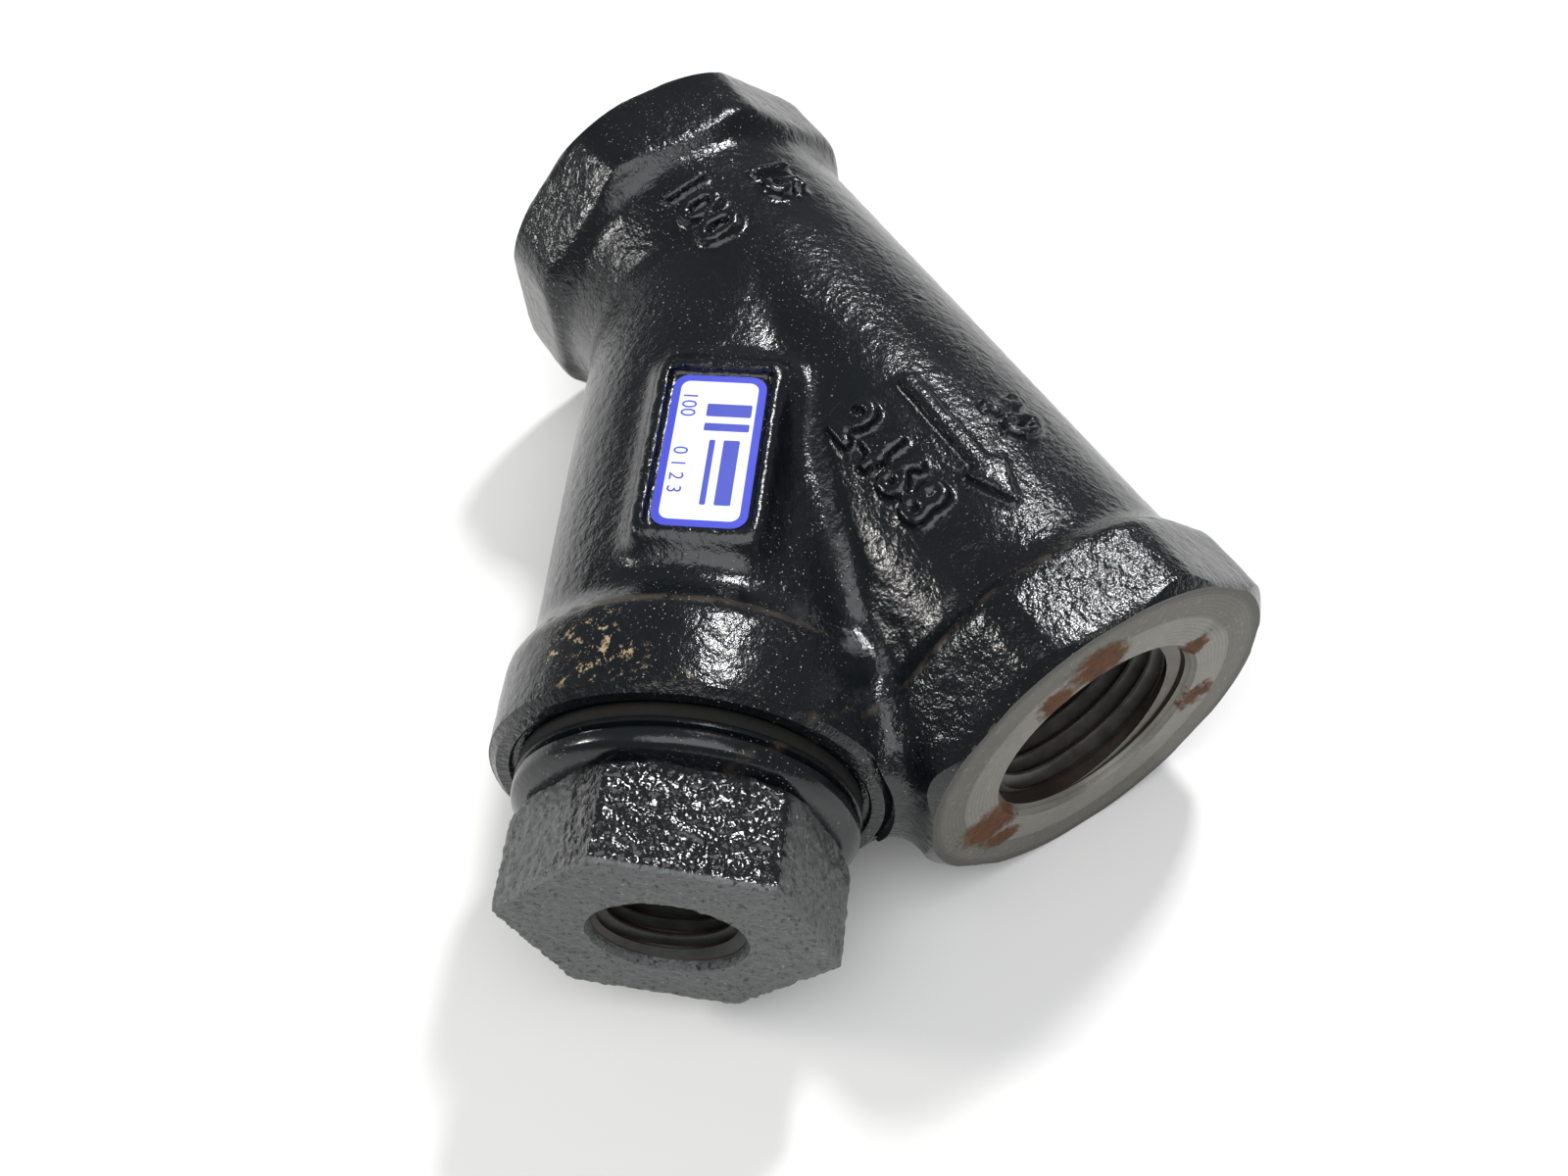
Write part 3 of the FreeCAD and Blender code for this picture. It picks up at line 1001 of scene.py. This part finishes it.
def fibreFinish():
    finish = Finish("pressedFibre")
    fibre = finish.noise(1400, 4.0, 0.7)
    stain = finish.noise(160, 3.0)
    base = finish.mix(fibre, (0.006, 0.006, 0.006), (0.022, 0.021, 0.020))
    base = finish.mix(stain * 0.3, base, (0.02, 0.015, 0.011))
    finish.give(Base_Color=base, Roughness=0.7 + fibre * 0.2, Specular_IOR_Level=0.2,
                Normal=finish.bump(fibre, 0.04 * mm, 0.7))
    return finish.material


gasket = gasketRing()
coat(gasket, fibreFinish())
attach(gasket, "gasket")
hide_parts("cap_gasket")

# the label: pale film with a blue border, bars and numerals
label = {
    "corner": 1.5 * mm,
    "border": 0.75 * mm,
    "inkLift": 0.02 * mm,
    # ink bars in the label's own frame: place along, place across, length, width
    "bars": [
        (-4.6 * mm, 1.2 * mm, 1.5 * mm, 4.2 * mm),
        (-2.6 * mm, 1.2 * mm, 0.9 * mm, 4.2 * mm),
        (2.6 * mm, 1.9 * mm, 7.4 * mm, 1.5 * mm),
        (2.6 * mm, 0.1 * mm, 7.4 * mm, 0.55 * mm),
    ],
    "numbers": [("100", -6.7 * mm, -3.3 * mm, 2.0 * mm), ("0 1 2 3", -0.2 * mm, -3.3 * mm, 1.9 * mm)],
}


def filmFinish(name, low, high, roughness):
    finish = Finish(name)
    stain = finish.noise(260, 3.0)
    finish.give(Base_Color=finish.mix(stain, low, high), Roughness=roughness + stain * 0.1,
                Normal=finish.bump(finish.noise(900, 2.0), 0.01 * mm, 0.4))
    return finish.material


def labelMatrix():
    low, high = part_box("label_plate")
    middle = (low + high) / 2
    return Matrix.Translation(Vector((middle.x, middle.y, low.z))) @ branchFrame.to_3x3().to_4x4()


def roundedSheet(name, length, width, corner, low, high):
    deselectAll()
    bpy.ops.mesh.primitive_cube_add(size=1, location=(0, 0, (low + high) / 2),
                                    scale=(length, width, high - low))
    return roundUprights(settle(named(name)), high - low, corner, 6)


def labelPieces():
    low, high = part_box("label_plate")
    thickness = high.z - low.z
    length, width = labelSize()
    ink = thickness + label["inkLift"]
    film = roundedSheet("labelFilm", length, width, label["corner"], 0, thickness)
    field = roundedSheet("labelField", length - 2 * label["border"], width - 2 * label["border"],
                         label["corner"] * 0.6, thickness * 0.5, thickness + label["inkLift"] / 2)
    prints = []
    for number, (along, aside, barLength, barWidth) in enumerate(label["bars"]):
        bar = roundedSheet(f"bar{number}", barLength, barWidth, 0.15 * mm, thickness * 0.5, ink)
        prints.append(settle(bar, Matrix.Translation((along, aside, 0))))
    for text, along, aside, size in label["numbers"]:
        deselectAll()
        bpy.ops.object.text_add(location=(along, aside, ink - 0.03 * mm))
        words = bpy.context.active_object
        words.data.body = text
        words.data.size = size
        words.data.extrude = 0.03 * mm
        bpy.ops.object.convert(target="MESH")
        prints.append(tidyMesh(settle(named("number" + text[0]))))
    marksPiece = join(prints)
    marksPiece.name = "labelPrint"
    return film, field, marksPiece


def labelSize():
    # the plate lies slanted in the frame, so its sides come from its corners along the branch
    places = inBranch("label_plate")
    return (max(place.x for place in places) - min(place.x for place in places),
            max(place.y for place in places) - min(place.y for place in places))


blue = filmFinish("blueInk", (0.045, 0.055, 0.52), (0.06, 0.075, 0.62), 0.38)
paleFilm = filmFinish("paleFilm", (0.74, 0.76, 0.88), (0.84, 0.86, 0.94), 0.36)
darkBlue = filmFinish("printBlue", (0.05, 0.06, 0.42), (0.07, 0.09, 0.5), 0.42)
for piece, material in zip(labelPieces(), (blue, paleFilm, darkBlue)):
    settle(piece, labelMatrix())
    coat(piece, material)
    smoothBy(piece, 40)
    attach(piece, "strainer_body")
    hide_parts("label_plate")
print("label made")

# the screen: a woven wire tube with two bands and a seam strip
screen = {
    "wire": 0.37 * mm,
    "wiresRound": 48,
    "wireSides": 6,
    "samples": 6,
    "bandRound": 0.08 * mm,
    "weldSize": 0.55 * mm,
    "weldSpacing": 2.6 * mm,
    "weldHeight": 0.06 * mm,
}
weaveRadius = sum(girth("screen_mesh")) / 2
weavePitch = fullTurn * weaveRadius / screen["wiresRound"]


def spinCopies(piece, count, turnBy):
    turner = bpy.data.objects.new("turner", None)
    bpy.context.scene.collection.objects.link(turner)
    turner.matrix_world = Matrix.Rotation(turnBy, 4, "X")
    bpy.context.view_layer.update()
    modify(piece, "ARRAY", count=count, use_relative_offset=False, use_object_offset=True,
           offset_object=turner)
    bpy.data.objects.remove(turner)
    return piece


def ringWire(name, along, side):
    # one hoop of the weave, which passes over and under the long wires
    deselectAll()
    count = screen["wiresRound"]
    bpy.ops.mesh.primitive_torus_add(
        major_segments=count * screen["samples"] // 2, minor_segments=screen["wireSides"],
        major_radius=weaveRadius, minor_radius=screen["wire"] / 2, rotation=(0, fullTurn / 4, 0))
    piece = settle(named(name))
    for vertex in piece.data.vertices:
        angle = math.atan2(vertex.co.z, vertex.co.y)
        lift = 1 + side * screen["wire"] / 2 * math.cos(angle * count / 2) / weaveRadius
        vertex.co = (vertex.co.x + along, vertex.co.y * lift, vertex.co.z * lift)
    return piece


def longWire(name, start, length, side):
    deselectAll()
    bpy.ops.mesh.primitive_circle_add(vertices=screen["wireSides"], radius=screen["wire"] / 2,
                                      rotation=(0, fullTurn / 4, 0))
    piece = settle(named(name))
    steps = int(length / weavePitch * screen["samples"])
    modify(piece, "SCREW", axis="X", angle=0, screw_offset=length, steps=steps, render_steps=steps)
    closeEnds(piece)
    for vertex in piece.data.vertices:
        wave = math.cos(fullTurn / 2 * vertex.co.x / weavePitch)
        vertex.co.z += weaveRadius - side * screen["wire"] / 2 * wave
        vertex.co.x += start
    # the first long wire lies where the hoops' wave is at its peak
    return settle(piece, Matrix.Rotation(-fullTurn / 4, 4, "X"))


def weave():
    start = meshReach[0] + screen["wire"] / 2
    length = meshReach[1] - meshReach[0] - screen["wire"]
    hoops = int(length / weavePitch) + 1
    offset = (2 * weavePitch, 0, 0)
    pieces = []
    for number, side in enumerate((1, -1)):
        hoop = ringWire(f"hoop{number}", start + number * weavePitch, side)
        modify(hoop, "ARRAY", count=(hoops + 1 - number) // 2, use_relative_offset=False,
               use_constant_offset=True, constant_offset_displace=offset)
        wire = longWire(f"wire{number}", start, length, side)
        settle(wire, Matrix.Rotation(number * fullTurn / screen["wiresRound"], 4, "X"))
        spinCopies(wire, screen["wiresRound"] // 2, 2 * fullTurn / screen["wiresRound"])
        pieces += [hoop, wire]
    piece = join(pieces)
    piece.name = "screenWeave"
    return smoothBy(settle(piece, branchFrame), 60)


def band(name, node):
    start, end = reach(node)
    inner, outer = girth(node)
    edge = screen["bandRound"]
    piece = turned(name, [
        (start, inner),
        (start, outer - edge),
        (start + edge, outer),
        (end - edge, outer),
        (end, outer - edge),
        (end, inner)], closed=True, steps=160)
    return smoothBy(settle(piece, branchFrame), 50)


def seamStrip():
    # the strip is cut from a thin tube over its own arc, and is pressed in at each spot weld
    start, end = reach("screen_seam_strip")
    inner, outer = girth("screen_seam_strip")
    halfArc = max(abs(math.atan2(place.z, place.y)) for place in inBranch("screen_seam_strip"))
    skin = outer - screen["weldHeight"]
    piece = turned("seamStrip", [(start, inner), (start, skin), (end, skin), (end, inner)],
                   steps=12, sweep=halfArc * 2, closed=True)
    closeEnds(piece)
    middle = sum((vertex.co for vertex in piece.data.vertices), Vector()) / len(piece.data.vertices)
    settle(piece, Matrix.Rotation(-math.atan2(middle.z, middle.y), 4, "X"))
    count = int((end - start) / screen["weldSpacing"])
    welds = [weld(f"weld{number}", start + (number + 0.5) * (end - start) / count, skin, outer)
             for number in range(count)]
    piece = join([piece] + welds)
    piece.name = "seamStrip"
    return smoothBy(settle(piece, branchFrame), 40)


def weld(name, along, skin, outer):
    # a low button with a dished middle, on the side where the seam lies
    size = screen["weldSize"]
    button = turned(name, [(-0.1 * mm, 0), (-0.1 * mm, size), (outer - skin, size * 0.7),
                           (outer - skin, size * 0.45), ((outer - skin) * 0.4, 0)], steps=16)
    return settle(button, Matrix.Translation((along, skin, 0)) @ Matrix.Rotation(fullTurn / 4, 4, "Z"))


def steelFinish():
    finish = Finish("screenSteel")
    drawn = finish.noise(900, 3.0)
    finish.give(Base_Color=finish.mix(drawn, (0.42, 0.41, 0.39), (0.62, 0.61, 0.59)),
                Roughness=0.24 + drawn * 0.16, Metallic=1.0,
                Normal=finish.bump(drawn, 0.006 * mm, 0.5))
    return finish.material


steel = steelFinish()
for piece, node in ((weave(), "screen_mesh"), (band("innerBand", "screen_inner_band"), "screen_inner_band"),
                    (band("outerBand", "screen_outer_band"), "screen_outer_band"),
                    (seamStrip(), "screen_seam_strip")):
    coat(piece, steel)
    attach(piece, "screen")
    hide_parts(node)
    print(piece.name, len(piece.data.polygons))

# floor, camera and lights
room = {
    "floorSize": 3.0,
    "target": (29.62 * mm, -15.51 * mm, 0.0),
    "distance": 172.24 * mm,
    "azimuth": 62.8,
    "elevation": 55.85,
    "roll": -5.7,
    "lens": 40.3,
    "sensor": 36.0,
    "clipStart": 0.01,
    "lightAim": (40 * mm, -15 * mm, 0),
    # light, place, size, power, colour
    "lights": [
        ("ceiling", (0.42, -0.22, 0.95), (1.1, 1.1), 9.6, (0.95, 0.98, 1)),
        ("lampFar", (-0.27, 0.50, 0.76), (0.11, 0.11), 5.6, (0.97, 0.99, 1)),
        ("lampSide", (-0.46, -0.66, 0.44), (0.09, 0.09), 2.2, (1, 0.98, 0.95)),
    ],
    "air": (0.9, 0.92, 0.95, 1),
    "airStrength": 0.24,
    "table": (0.88, 0.86, 0.84),
    "tableRoughness": 0.6,
}


def matte(name, colour, roughness):
    material = bpy.data.materials.new(name)
    material.use_nodes = True
    shader = material.node_tree.nodes["Principled BSDF"]
    shader.inputs["Base Color"].default_value = (*colour, 1)
    shader.inputs["Roughness"].default_value = roughness
    return material


def areaLight(name, place, size, power, colour):
    deselectAll()
    bpy.ops.object.light_add(type="AREA", location=place)
    light = bpy.context.active_object
    light.name = name
    light.data.shape = "RECTANGLE"
    light.data.size, light.data.size_y = size
    light.data.energy = power
    light.data.color = colour
    aim = Vector(room["lightAim"]) - Vector(place)
    light.rotation_euler = aim.to_track_quat("-Z", "Y").to_euler()


deselectAll()
bpy.ops.mesh.primitive_plane_add(size=room["floorSize"], location=(0, 0, floorLevel))
floor = settle(named("floor"))
floor.data.materials.append(matte("paleTable", room["table"], room["tableRoughness"]))

azimuth, elevation, roll = (math.radians(room[key]) for key in ("azimuth", "elevation", "roll"))
back = Vector((math.sin(azimuth) * math.cos(elevation), -math.cos(azimuth) * math.cos(elevation),
               math.sin(elevation)))
right = Vector((math.cos(azimuth), math.sin(azimuth), 0))
top = back.cross(right)
rolledRight = right * math.cos(roll) + top * math.sin(roll)
rolledTop = back.cross(rolledRight)
target = Vector((crossing.x, 0, 0)) + Vector(room["target"])
bpy.ops.object.camera_add()
camera = bpy.context.active_object
camera.matrix_world = Matrix.Translation(target + back * room["distance"]) @ Matrix(
    (rolledRight, rolledTop, back)).transposed().to_4x4()
camera.data.lens = room["lens"]
camera.data.sensor_width = room["sensor"]
camera.data.clip_start = room["clipStart"]
bpy.context.scene.camera = camera

for light in room["lights"]:
    areaLight(*light)
world = bpy.data.worlds.new("paleRoom")
world.use_nodes = True
background = world.node_tree.nodes["Background"]
background.inputs["Color"].default_value = room["air"]
background.inputs["Strength"].default_value = room["airStrength"]
bpy.context.scene.world = world
bpy.context.scene.view_settings.view_transform = "Standard"
print("floor, camera and lights placed")
